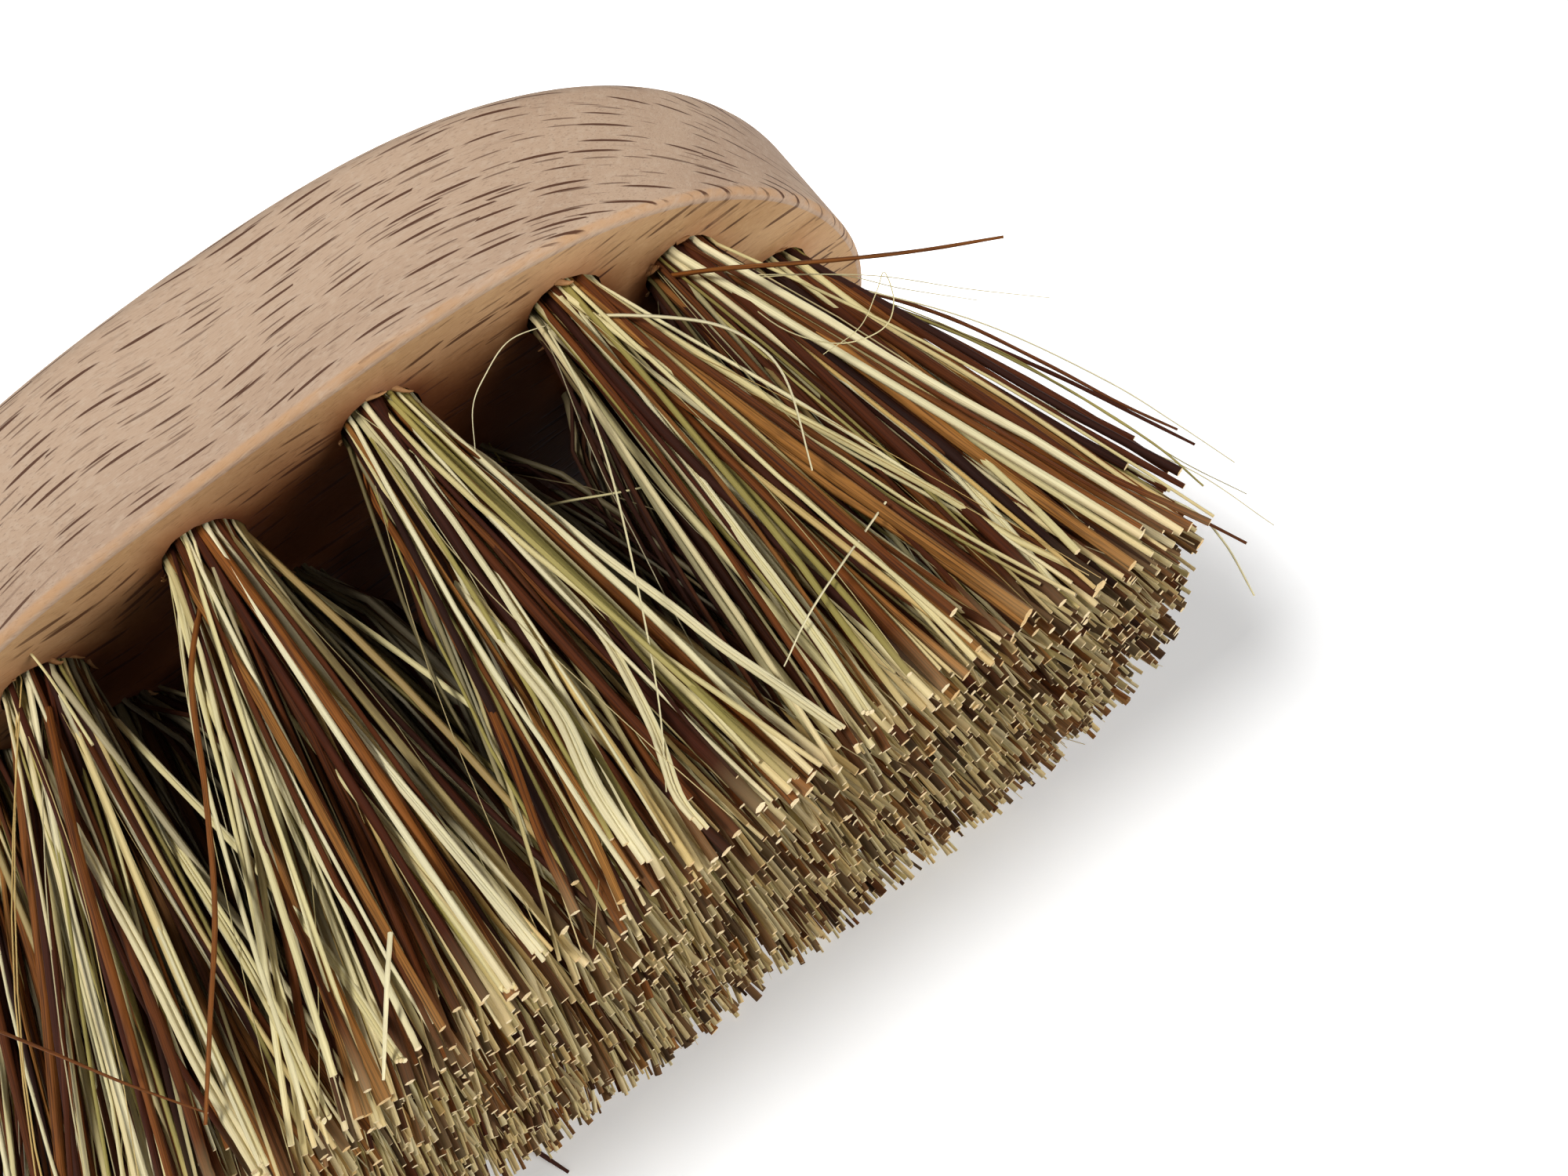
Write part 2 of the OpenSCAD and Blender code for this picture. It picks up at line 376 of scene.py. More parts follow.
# ---------------------------------------------------------------- meshes
def add_piece(name, points, faces, slots, mats, attributes, replaced=()):
    """A smooth mesh that rides on the body, with a value or vector at each point for its materials."""
    mesh = bpy.data.meshes.new(name)
    mesh.from_pydata([tuple(p) for p in points], [], faces)
    for m in mats:
        mesh.materials.append(m)
    mesh.polygons.foreach_set("material_index", slots)
    mesh.polygons.foreach_set("use_smooth", [True] * len(faces))
    for key, values in attributes.items():
        values = np.asarray(values, np.float32)
        kind, field = ("FLOAT_VECTOR", "vector") if values.ndim > 1 else ("FLOAT", "value")
        mesh.attributes.new(key, kind, "POINT").data.foreach_set(field, values.ravel())
    mesh.update()
    o = bpy.data.objects.new(name, mesh)
    bpy.context.scene.collection.objects.link(o)
    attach(o, "root")
    if replaced:
        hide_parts(*replaced)


# The block: one lofted body, finer than the CAD's, with the same outline, arch and drilled holes
END_T = 11.5 * MM                 # thickness at the ends and at the middle, without the crown
MID_T = 16.25 * MM
CROWN = 1.4 * MM
LOW_ROUND = 0.75 * MM
TOP_ROUND = 1.9 * MM
SQUARE_X, SQUARE_Y = 3.25, 1.85   # the powers of the outline's superellipse
STEPS = 240                       # points round the outline
LOW_STEPS, WALL_STEPS, TOP_STEPS = 6, 8, 7
CROWN_RINGS = (0.95, 0.89, 0.82, 0.74, 0.65, 0.56, 0.46, 0.36, 0.26, 0.16, 0.07)
RIM_STEPS = 40
OPEN_SHARE = 0.98                 # a face whose middle lies within this share of a hole is left out
TORN_RIM = (-0.05, 0.11)          # mm, how far a mouth's rim wanders
HOLE_RINGS = (0.5, 2.5, 8.0)      # mm deep, the last one at the bottom of the hole
GRID = 2.0 * MM                   # between the underside's inner points
EDGE_CLEAR, RIM_CLEAR = 2.5 * MM, 0.9 * MM  # how far these stay from its edge and from the mouths
INNER_EDGE = 0.86                 # painted shade lies only further inside the outline than this
FLAT = 0.05 * MM                  # a point this near above the underside belongs to it
WOOD_SHADE_TOP = 8.2 * MM               # how high in a hole the painted shade goes, and how much of it at the hole's wall
HOLE_WOOD_SHADE, HOLE_CLIMB = 0.6, 8 * MM
WOOD_SHADE_FROM, WOOD_SHADE_ENDWARD, WOOD_SHADE_RISE = 1.05, 0.35, 0.45  # where it starts, sooner in the block's middle
# Painted shade round the mouths of the holes: how much, and how far out it reaches
RIM_WOOD_SHADE, RIM_WOOD_SHADE_REACH = 0.35, 1.6 * MM


def spow(v, e):
    return math.copysign(abs(v) ** e, v)


def outline(t, inset):
    return ((HALF_L - inset) * spow(math.cos(t), 2 / SQUARE_X),
            (HALF_W - inset) * spow(math.sin(t), 2 / SQUARE_Y))


def outness(x, y, half_l, half_w):
    """0 in the middle, and 1 on the superellipse of these half sizes."""
    return (abs(x) / half_l) ** SQUARE_X + (abs(y) / half_w) ** SQUARE_Y


def back_z(x):
    return UNDER_Z + END_T + (MID_T - END_T) * (1 - (x / HALF_L) ** 2)


# Angles spaced so that the points lie evenly round the outline
dense = np.linspace(0, TURN, 20001)
dense_xy = np.array([outline(t, 0) for t in dense])
run = np.concatenate([[0], np.cumsum(np.hypot(*np.diff(dense_xy, axis=0).T))])
ANGLES = np.interp(np.arange(STEPS) / STEPS * run[-1], run, dense)


def block_rings():
    """The rings of the block's skin, from the edge of its underside to near the middle of its back."""
    rings = []
    for i in range(LOW_STEPS + 1):
        a = math.pi / 2 * i / LOW_STEPS
        z = UNDER_Z + LOW_ROUND * (1 - math.cos(a))
        rings.append([(*outline(t, LOW_ROUND * (1 - math.sin(a))), z) for t in ANGLES])
    wall = [outline(t, 0) for t in ANGLES]
    lo = UNDER_Z + LOW_ROUND
    for i in range(1, WALL_STEPS):
        s = i / WALL_STEPS
        rings.append([(x, y, lo + (back_z(x) - TOP_ROUND - lo) * s) for x, y in wall])
    for i in range(TOP_STEPS + 1):
        a = math.pi / 2 * i / TOP_STEPS
        edge = [outline(t, TOP_ROUND * (1 - math.cos(a))) for t in ANGLES]
        rings.append([(x, y, back_z(x) - TOP_ROUND * (1 - math.sin(a))) for x, y in edge])
    top = [outline(t, TOP_ROUND) for t in ANGLES]
    for s in CROWN_RINGS:
        rings.append([(x * s, y * s, back_z(x * s) + CROWN * (1 - s * s)) for x, y in top])
    return rings


def band(lower, upper):
    """The faces between two rings of points."""
    n = len(lower)
    return [(lower[k], lower[(k + 1) % n], upper[(k + 1) % n], upper[k]) for k in range(n)]


def circle(centre, radii):
    """Points round a centre, one for each radius."""
    turns = [TURN * k / len(radii) for k in range(len(radii))]
    return [(centre[0] + r * math.cos(t), centre[1] + r * math.sin(t)) for r, t in zip(radii, turns)]


def wood_shade_share(x, y, z):
    """How much painted shade darkens the wood: most in the middle of the underside and in the holes."""
    if z >= UNDER_Z + WOOD_SHADE_TOP:
        return 0.0
    out = outness(x, y, HALF_L, HALF_W)
    deep = 0.0 if out > INNER_EDGE else min(1.0, HOLE_WOOD_SHADE + (z - UNDER_Z) / HOLE_CLIMB)
    low = 1.0 if z < UNDER_Z + FLAT else deep
    share = clamp((WOOD_SHADE_FROM - out - WOOD_SHADE_ENDWARD * abs(x) / HALF_L) / WOOD_SHADE_RISE)
    rim = max(0.0, 1.0 - max(0.0, hole_distance(x, y) - HOLE_R) / RIM_WOOD_SHADE_REACH) * RIM_WOOD_SHADE
    return min(1.0, low * share + (rim if out < INNER_EDGE else 0.0))


def block_piece():
    points = [p for ring in block_rings() for p in ring]
    faces, slots = [], []

    def add(new, slot):
        faces.extend(new)
        slots.extend([slot] * len(new))

    for start in range(0, len(points) - STEPS, STEPS):
        add(band(range(start, start + STEPS), range(start + STEPS, start + 2 * STEPS)), WALL)
    last, top = len(points) - STEPS, len(points)
    points.append((0, 0, back_z(0) + CROWN))
    add([(last + k, last + (k + 1) % STEPS, top) for k in range(STEPS)], WALL)

    # The underside, with a hole for each tuft, its torn lip and its drilled wall
    flat = [Vector(p[:2]) for p in points[:STEPS]]
    loops = [list(range(STEPS))]
    rims = []
    for p in PLACES:
        rims.append(range(len(flat), len(flat) + RIM_STEPS))
        radii = [HOLE_R + random.uniform(*TORN_RIM) * MM for _ in range(RIM_STEPS)]
        flat.extend(Vector(xy) for xy in circle(p["mouth"], radii))
        loops.append(list(rims[-1])[::-1])
    # A grid of points inside, so that the underside is not made of long thin triangles
    across, along = int(HALF_W / GRID), int(HALF_L / GRID)
    for i in range(-along, along + 1):
        for j in range(-across, across + 1):
            x, y = (i + 0.5 * (j % 2)) * GRID, j * GRID
            inside = outness(x, y, HALF_L - EDGE_CLEAR, HALF_W - EDGE_CLEAR) < 1
            if inside and hole_distance(x, y) > HOLE_R + RIM_CLEAR:
                flat.append(Vector((x, y)))
    edges = [(loop[i], loop[(i + 1) % len(loop)]) for loop in loops for i in range(len(loop))]
    found, _, tris, origin, _, _ = delaunay_2d_cdt(flat, edges, [], 0, 1e-9)
    index = []
    for place, source in zip(found, origin):
        if source and source[0] < STEPS:
            index.append(source[0])
        else:
            index.append(len(points))
            points.append((place.x, place.y, UNDER_Z))
    made = {v: index[k] for k, source in enumerate(origin) for v in source}
    for tri in tris:
        c = sum((found[v] for v in tri), Vector((0, 0))) / 3
        if hole_distance(c.x, c.y) >= HOLE_R * OPEN_SHARE:
            add([tuple(index[v] for v in tri)[::-1]], UNDERSIDE)
    for p, rim in zip(PLACES, rims):
        lean = (p["tip"] - p["mouth"]) / UNDER_Z
        below = [made[k] for k in rim]
        for depth in HOLE_RINGS:
            ring = list(range(len(points), len(points) + RIM_STEPS))
            for xy in circle(p["mouth"] - lean * depth * MM, [HOLE_R] * RIM_STEPS):
                points.append((*xy, UNDER_Z + depth * MM))
            add(band(below, ring), RAW)
            below = ring
        add([tuple(below)], RAW)
    add_piece("beech_block", points, faces, slots, WOODS,
              {"inner": [wood_shade_share(*point) for point in points]}, ("block",))


block_piece()


# ---------------------------------------------------------------- bristles
class Strands:
    """Collects strands, each a tube along a bent line, into one mesh."""

    BLEACH_H = 4.5 * MM                     # how high above the trim plane the bleaching ends
    # Painted shade on a strand starts this high above the trim plane and is full this much higher
    STAIN_FROM, STAIN_RISE = 3 * MM, 13 * MM
    GRAIN_ROUND = 1.6                       # how far the grain's noise moves round a strand
    SEEDS = 900

    def __init__(self):
        self.points, self.faces, self.slots = [], [], []
        self.tone, self.grain, self.bleach, self.stain = [], [], [], []

    def point(self, at, tone, grain, bleach, stain):
        self.points.append(at)
        self.tone.append(tone)
        self.grain.append(grain)
        self.bleach.append(bleach)
        self.stain.append(stain)

    def add(self, line, radii, kind, tone, sides=5, flat=1.0, turn=0.0, bleach=0.0, stain=0.0):
        line = np.asarray(line, float)
        n = len(line)
        along = np.gradient(line, axis=0)
        along /= np.linalg.norm(along, axis=1)[:, None] + 1e-12
        up = np.cross(along[0], (0.3, 0.9, 0.1))
        up /= np.linalg.norm(up)
        base = len(self.points)
        travelled = 0.0
        seed = random.random() * self.SEEDS
        for i in range(n):
            up = up - along[i] * (up @ along[i])
            up /= np.linalg.norm(up) + 1e-12
            side = np.cross(along[i], up)
            if i:
                travelled += float(np.linalg.norm(line[i] - line[i - 1]))
            bleached = bleach * max(0.0, 1 - line[i][2] / self.BLEACH_H)
            # Painted shade grows up the strand towards the block
            shaded = stain * clamp((line[i][2] - self.STAIN_FROM) / self.STAIN_RISE)
            for k in range(sides):
                a = turn + TURN * k / sides
                offset = (up * math.cos(a) + side * math.sin(a) * flat) * radii[i]
                grain = (seed + math.cos(a) * self.GRAIN_ROUND, math.sin(a) * self.GRAIN_ROUND + seed,
                         travelled)
                self.point(line[i] + offset, tone, grain, bleached, shaded)
        for i in range(n - 1):
            a, b = base + i * sides, base + (i + 1) * sides
            for k in range(sides):
                self.faces.append((a + k, b + k, b + (k + 1) % sides, a + (k + 1) % sides))
                self.slots.append(kind)
        # Both ends closed, on points of their own so that the rim of a cut end stays sharp
        for ring, flip in ((0, False), (n - 1, True)):
            cap = [len(self.points) + k for k in range(sides)]
            for k in range(sides):
                source = base + ring * sides + k
                self.point(self.points[source], tone, self.grain[source], 0.0, 0.0)
            self.faces.append(tuple(cap[::-1] if flip else cap))
            self.slots.append(CUT)

    def piece(self, name, replaced=()):
        values = {"tone": self.tone, "grain": self.grain, "bleach": self.bleach, "stain": self.stain}
        add_piece(name, self.points, self.faces, self.slots, FIBRES, values, replaced)


# Each kind of strand: material, how many in a tuft, half thickness in mm, sides, sections, how flat.
# The first four rows stand in the order of their materials; the last one is the hairs.
KINDS = [
    (PALE, 66, (0.13, 0.36), 5, 9, (0.4, 0.9)),
    (OLIVE, 12, (0.12, 0.28), 5, 9, (0.5, 1.0)),
    (BROWN, 28, (0.16, 0.54), 6, 10, (0.45, 0.95)),
    (DARK, 26, (0.16, 0.5), 6, 10, (0.45, 0.95)),
    (PALE, 12, (0.035, 0.07), 3, 10, (1.0, 1.0)),
]
HAIR = 0.1                        # mm, a kind whose strands are all thinner is hair
ROOT_DEPTH = 5.0 * MM
GOLDEN = 2.39996                  # the angle from one strand to the next in a packed mouth
# How far a tuft's tips spread from its middle: the fans of neighbours run into each other
SPREAD = (10.6 * MM, 7.4 * MM)
INNER_SPREAD = (12.5 * MM, 7.4 * MM)
END_SPREAD = (9.6 * MM, 7.2 * MM)
# Strands that lean out past END_REACH are too short to reach the trim plane
END_REACH, END_RISE = 48.5 * MM, 1.25
END_BROWNED = 0.3                 # share of the end tufts' pale strands that are brown or dark instead
SPRAWL = 0.32                     # share of the inner strands that spread sideways from the mouth on
SPRAWL_REACH = (0.75, 1.15)
# The curve of a fan from mouth to tip: below 1 it opens at once, above 1 it opens late
SPRAWL_POWER, INNER_POWER, OUTER_POWER = (0.36, 0.6), (0.8, 1.1), (0.95, 1.25)
# Half the strands are cut short by up to SHORT_BY, most of them by little; the rest nearly reach
SHORT_SHARE, SHORT_BY, SHORT_POWER, NEARLY = 0.5, 5.0, 2.2, 0.9
PAST_PLANE = 0.2                  # mm that the longest strands reach past the trim plane
ROUND = 6.28                      # a whole turn, for draws of an angle
THICK_POWER = 1.4                 # above 1: more thin strands than thick ones
WALL_GAP = 0.1 * MM               # between the outermost strands and the wall of their hole
# The spread of the draws: a root's angle, its tip's angle, and where a strand's or a hair's tip strays
ROOT_STIR, VEER, STIR, HAIR_STIR = 0.25, 0.3, 0.26, 0.6
FAN_FILL, FAN_LIMIT = 0.86, 1.12  # how far out tips stand, as a share of the fan, and at most
BOW = 0.6                         # mm, times BEND, or BENT for a BENT_SHARE of the strands
BEND, BENT, HAIR_BEND, BENT_SHARE = 0.8, 1.8, 3.0, 0.2
WAVE, PACE = (0.0, 0.3), (1.0, 2.4)   # mm, and waves in a strand
TIP_THIN = (0.75, 1.0)            # a tip's thickness as a share of its root's
BARK_ROUGH, STALK_ROUGH = 0.16, 0.08
TIPS_HALF = (50 * MM, 34 * MM)    # half sizes of the outline of all tips
DEEP_FROM, DEEP_RISE = 0.92, 0.42
# Painted shade on the strands: how much for tips deep in the brush, how much more for strands nearer a
# mouth's middle than CORE, at most, and the random share drawn
DEEP_TIP_SHADE, CORE_SHADE, CORE, MOST_SHADE = 0.85, 0.25, 0.55, 0.84
SHADE_DRAW = (0.8, 1.0)
STALK_BLEACH, BARK_BLEACH = (0.3, 1.0), 0.25


def deepness(x, y):
    """How far inside the brush a strand's tip is: 0 on its outer surface, 1 in its middle."""
    return clamp((DEEP_FROM - outness(x, y, *TIPS_HALF)) / DEEP_RISE)


def tuft_piece(p):
    s = Strands()
    end = "end_tuft" in p["name"]
    inside = "inner" in p["name"] or "centre" in p["name"]
    wide = np.array(END_SPREAD if end else INNER_SPREAD if inside else SPREAD)
    order = [row for row, kind in enumerate(KINDS) for _ in range(kind[1])]
    random.shuffle(order)
    for j, row in enumerate(order):
        if end and row == PALE and random.random() < END_BROWNED:
            row = random.choice((BROWN, DARK))
        kind, _, (r0, r1), sides, sections, (f0, f1) = KINDS[row]
        hair = r1 < HAIR
        radius = (r0 + (r1 - r0) * random.random() ** THICK_POWER) * MM
        # Where it leaves the mouth, and where its tip goes
        t = j * GOLDEN + random.uniform(-ROOT_STIR, ROOT_STIR)
        share = math.sqrt((j + 0.5) / len(order))
        way = np.array([math.cos(t), math.sin(t)])
        root = way * share * (HOLE_R - radius - WALL_GAP)
        veer = t + random.gauss(0, VEER)
        stir = HAIR_STIR if hair else STIR
        aim = np.array([math.cos(veer), math.sin(veer)]) * share * FAN_FILL
        aim += np.array([random.gauss(0, stir), random.gauss(0, stir)])
        aim /= max(1.0, np.linalg.norm(aim) / FAN_LIMIT)
        sprawl = inside and random.random() < SPRAWL
        if sprawl:
            aim[0] = math.copysign(random.uniform(*SPRAWL_REACH), aim[0])
        fan = aim * wide
        if random.random() < SHORT_SHARE:
            short = random.random() ** SHORT_POWER * SHORT_BY
        else:
            short = random.random() * NEARLY
        tip_z = (short - PAST_PLANE) * MM
        if end:
            tip_z += max(0.0, abs(p["tip"][0] + fan[0]) - END_REACH) * END_RISE
        # Its bow, its waves and how late it spreads
        bend = HAIR_BEND if hair else (BENT if random.random() < BENT_SHARE else BEND)
        bow = np.array([random.gauss(0, BOW), random.gauss(0, BOW)]) * MM * bend
        wave = random.uniform(*WAVE) * MM
        phase = random.uniform(0, ROUND)
        pace = random.uniform(*PACE)
        power = random.uniform(*(SPRAWL_POWER if sprawl else INNER_POWER if inside else OUTER_POWER))
        line = []
        for i in range(sections):
            q = i / (sections - 1)
            z = UNDER_Z + ROOT_DEPTH + (tip_z - UNDER_Z - ROOT_DEPTH) * q
            down = (UNDER_Z - z) / UNDER_Z
            d = max(0.0, down)
            centre = p["mouth"] + (p["tip"] - p["mouth"]) * down
            spread = root + (fan - root) * d ** power
            swing = bow * math.sin(math.pi * min(1.0, d))
            swing = swing + way * wave * math.sin(phase + pace * TURN * d) * d
            line.append((*(centre + spread + swing), z))
        thin = random.uniform(*TIP_THIN)
        rough = BARK_ROUGH if kind in (BROWN, DARK) else STALK_ROUGH
        radii = [radius * (1 - (1 - thin) * i / (sections - 1)) * random.uniform(1 - rough, 1 + rough)
                 for i in range(sections)]
        # Painted shade: darker for strands near the middle of a mouth and for tips deep inside the brush
        core = CORE_SHADE if share < CORE else 0.0
        stain = min(MOST_SHADE, deepness(*(p["tip"] + fan)) * DEEP_TIP_SHADE + core)
        s.add(line, radii, kind, random.random(), sides, random.uniform(f0, f1), random.uniform(0, ROUND),
              random.uniform(*STALK_BLEACH) if kind in (PALE, OLIVE) else BARK_BLEACH * random.random(),
              stain * random.uniform(*SHADE_DRAW))
    s.piece("fibre_" + p["name"], (p["name"],))


for place in PLACES:
    tuft_piece(place)


# ---------------------------------------------------------------- strands of their own
def at_pixel(x, y, depth):
    """The point that a pixel of the photograph shows, depth mm along Y."""
    pixels = CAM_LENS / SENSOR * PHOTO_W
    way = sight + cam_right * ((x - PHOTO_W / 2) / pixels) + cam_up * ((PHOTO_H / 2 - y) / pixels)
    start = camera.matrix_world.translation
    return start + way * ((depth * MM - start.y) / way.y)


def on_plane(x, y, z):
    """The point of the plane at height z that the pixel (x, y) of the photograph shows."""
    near, far = np.array(at_pixel(x, y, -60)), np.array(at_pixel(x, y, 60))
    return near + (far - near) * ((z - near[2]) / (far[2] - near[2]))


def smooth_line(points, count):
    """A line of count points through the given ones, rounded by a Catmull-Rom curve."""
    p = [np.array(v, float) for v in points]
    p = [2 * p[0] - p[1]] + p + [2 * p[-1] - p[-2]]
    line = []
    spans = len(p) - 3
    for i in range(count):
        u = i / (count - 1) * spans
        k = min(int(u), spans - 1)
        t = u - k
        a, b, c, d = p[k:k + 4]
        line.append(0.5 * (2 * b + (c - a) * t + (2 * a - 5 * b + 4 * c - d) * t * t
                           + (3 * b - a - 3 * c + d) * t ** 3))
    return line


# Loose fibres that the photograph shows outside the tufts: material, half thickness in mm, and
# points, each a pixel of the photograph and how far along Y it lies in mm
STRAYS = [
    (BROWN, 0.19, [(850, 352, -19.5), (930, 342, -23.5), (1050, 333, -25.5), (1170, 320, -27),
                   (1280, 302, -28.5)]),
    (PALE, 0.13, [(712, 408, -24), (790, 402, -26), (900, 411, -28), (965, 440, -29),
                  (1005, 490, -30), (1036, 600, -31)]),
    (PALE, 0.05, [(706, 412, -24), (650, 434, -27), (618, 480, -28), (603, 520, -28), (606, 575, -28)]),
    (PALE, 0.05, [(935, 372, -18), (1000, 420, -24), (1070, 438, -26), (1125, 420, -26),
                  (1140, 385, -26), (1128, 347, -26), (1118, 372, -26), (1096, 418, -25),
                  (1050, 452, -24)]),
    (PALE, 0.04, [(905, 352, -17), (1010, 350, -22), (1120, 352, -26), (1230, 368, -28),
                  (1340, 380, -29)]),
    (PALE, 0.04, [(930, 356, -18), (1060, 350, -22), (1150, 368, -24), (1247, 383, -25)]),
    (PALE, 0.11, [(600, 668, -19), (660, 655, -18), (715, 641, -18), (790, 628, -19),
                  (845, 616, -20), (890, 608, -22)]),
    (OLIVE, 0.09, [(612, 548, -12), (640, 590, -14), (690, 660, -16), (770, 745, -18),
                   (830, 800, -20)]),
    (BROWN, 0.22, [(262, 742, -26), (244, 860, -30), (262, 1010, -32), (274, 1160, -33),
                   (268, 1300, -34), (262, 1435, -34)]),
    (BROWN, 0.4, [(60, 905, -25), (98, 1080, -28), (160, 1300, -31), (222, 1520, -33)]),
    (BROWN, 0.12, [(-40, 1300, -33), (60, 1340, -34), (160, 1382, -34), (265, 1420, -34)]),
    (PALE, 0.06, [(985, 350, -8), (1110, 372, -9), (1260, 415, -10), (1410, 485, -10),
                  (1500, 540, -10), (1575, 590, -10)]),
    (OLIVE, 0.05, [(985, 350, -8), (1130, 385, -9), (1290, 455, -9), (1430, 540, -8),
                   (1510, 590, -8), (1590, 630, -8)]),
    (PALE, 0.05, [(985, 352, -8), (1180, 430, -8), (1380, 540, -7), (1520, 600, -6), (1625, 670, -6)]),
    (BROWN, 0.2, [(985, 352, -8), (1160, 440, -8), (1330, 550, -8), (1470, 630, -8), (1590, 693, -8)]),
    (PALE, 0.12, [(985, 352, -8), (1190, 470, -7), (1380, 595, -6), (1510, 645, -6), (1560, 690, -6),
                  (1600, 760, -6)]),
    (BROWN, 0.17, [(985, 348, -8), (1090, 368, -8), (1210, 405, -8), (1330, 462, -8),
                   (1430, 515, -8), (1502, 548, -8)]),
    (DARK, 0.2, [(985, 350, -8), (1100, 380, -7), (1230, 428, -6), (1350, 480, -5), (1450, 530, -4),
                 (1524, 567, -3)]),
    (OLIVE, 0.13, [(985, 350, -8), (1090, 376, -8), (1220, 425, -8), (1350, 490, -8),
                   (1470, 565, -8), (1535, 620, -8)]),
    (DARK, 0.33, [(600, 1400, 26), (640, 1435, 30), (680, 1465, 33), (725, 1495, 35)]),
    (PALE, 0.08, [(1130, 640, -29), (1040, 770, -32), (1000, 850, -33)]),
    (PALE, 0.1, [(700, 422, -25), (738, 490, -27), (772, 580, -29), (803, 700, -31), (838, 880, -33),
                 (850, 1010, -34)]),
    (PALE, 0.17, [(498, 1190, -34), (494, 1250, -35), (491, 1320, -35), (489, 1378, -35)]),
    (PALE, 0.14, [(118, 950, -28), (60, 860, -27), (10, 800, -27)]),
]
# The broad strands that stand out on the faces of the fans: material, half thickness in mm, and
# pixels. The first one lies in the mouth of a hole, the last one on the trim plane.
LEADERS = [
    (BROWN, 0.42, [(521, 520), (595, 596), (644, 645), (698, 703), (796, 788), (876, 868),
                   (957, 935), (1024, 993)]),
    (PALE, 0.3, [(500, 530), (564, 589), (626, 659), (698, 730), (769, 810), (832, 926), (862, 1010)]),
    (PALE, 0.27, [(540, 532), (609, 578), (680, 636), (769, 708), (859, 775), (921, 824), (992, 873),
                  (1073, 930)]),
    (PALE, 0.42, [(462, 580), (497, 636), (559, 712), (609, 775), (662, 846), (716, 918), (760, 1010)]),
    (BROWN, 0.33, [(452, 582), (480, 640), (540, 740), (600, 850), (650, 960), (690, 1070)]),
    (DARK, 0.45, [(510, 528), (600, 640), (700, 760), (800, 860), (900, 960), (970, 1030)]),
    (OLIVE, 0.2, [(470, 566), (520, 630), (600, 740), (680, 850), (760, 960), (820, 1060)]),
    (PALE, 0.44, [(738, 398), (800, 432), (900, 520), (985, 600), (1075, 690), (1175, 790),
                  (1235, 868)]),
    (PALE, 0.3, [(716, 400), (780, 470), (860, 570), (950, 690), (1040, 810), (1100, 900)]),
    (DARK, 0.45, [(700, 412), (780, 510), (870, 620), (950, 690), (1040, 770), (1130, 850),
                  (1215, 915)]),
    (DARK, 0.4, [(745, 396), (900, 500), (1070, 645), (1200, 760), (1295, 830)]),
    (BROWN, 0.32, [(768, 394), (900, 470), (1050, 580), (1200, 700), (1320, 806)]),
    (OLIVE, 0.22, [(725, 400), (830, 500), (950, 620), (1070, 750), (1160, 860)]),
    (PALE, 0.32, [(884, 345), (960, 388), (1060, 455), (1180, 560), (1290, 680), (1360, 770)]),
    (BROWN, 0.36, [(856, 352), (940, 412), (1040, 500), (1130, 590), (1250, 700), (1325, 790)]),
    (PALE, 0.25, [(895, 342), (1010, 400), (1140, 490), (1280, 610), (1400, 730)]),
    (PALE, 0.36, [(242, 722), (300, 800), (380, 920), (470, 1030), (560, 1140), (640, 1250)]),
    (PALE, 0.26, [(228, 735), (250, 850), (300, 980), (350, 1130), (400, 1290)]),
    (DARK, 0.5, [(292, 692), (370, 785), (450, 880), (560, 1000), (660, 1120), (735, 1205)]),
    (PALE, 0.26, [(306, 690), (420, 770), (560, 870), (700, 975), (830, 1070), (900, 1130)]),
    (PALE, 0.3, [(280, 696), (380, 800), (500, 920), (620, 1030), (740, 1150), (790, 1200)]),
    (BROWN, 0.36, [(262, 705), (330, 850), (400, 980), (480, 1100), (560, 1230), (610, 1320)]),
    (PALE, 0.34, [(252, 712), (330, 800), (430, 910), (530, 1020), (620, 1120), (690, 1215)]),
    (PALE, 0.3, [(268, 702), (370, 830), (460, 940), (560, 1060), (650, 1170)]),
    (PALE, 0.22, [(236, 726), (270, 830), (330, 950), (400, 1080), (470, 1210), (520, 1310)]),
    (OLIVE, 0.2, [(298, 690), (400, 790), (520, 890), (640, 990), (760, 1090), (850, 1160)]),
    (PALE, 0.2, [(222, 738), (232, 830), (252, 950), (285, 1080), (330, 1230), (372, 1360)]),
    (BROWN, 0.3, [(228, 732), (258, 840), (290, 960), (340, 1090), (400, 1230), (450, 1340)]),
    (BROWN, 0.4, [(60, 880), (78, 970), (115, 1080), (165, 1210), (215, 1340), (260, 1480)]),
    (PALE, 0.3, [(95, 876), (150, 970), (220, 1075), (300, 1200), (365, 1320), (410, 1420)]),
    (PALE, 0.42, [(25, 884), (62, 990), (125, 1110), (190, 1230), (255, 1360), (330, 1490)]),
    (PALE, 0.3, [(105, 872), (200, 975), (320, 1100), (420, 1220), (500, 1340)]),
    (PALE, 0.28, [(75, 878), (120, 1000), (185, 1140), (250, 1290), (320, 1450)]),
]
FRONT_TIPS = -34.0 * MM           # Y of the tips' front edge
LEADER_TIP = (0.2, 1.2)           # mm above the trim plane
LEADER_BLEACH = 0.3
LEADER_IN = 4 * MM                # how deep in its hole a broad strand starts
SPLIT_ABOVE = 0.26                # mm, a broader pale strand is drawn as three that run side by side
SPLIT_THIN, SPLIT_APART = 1.9, 1.5


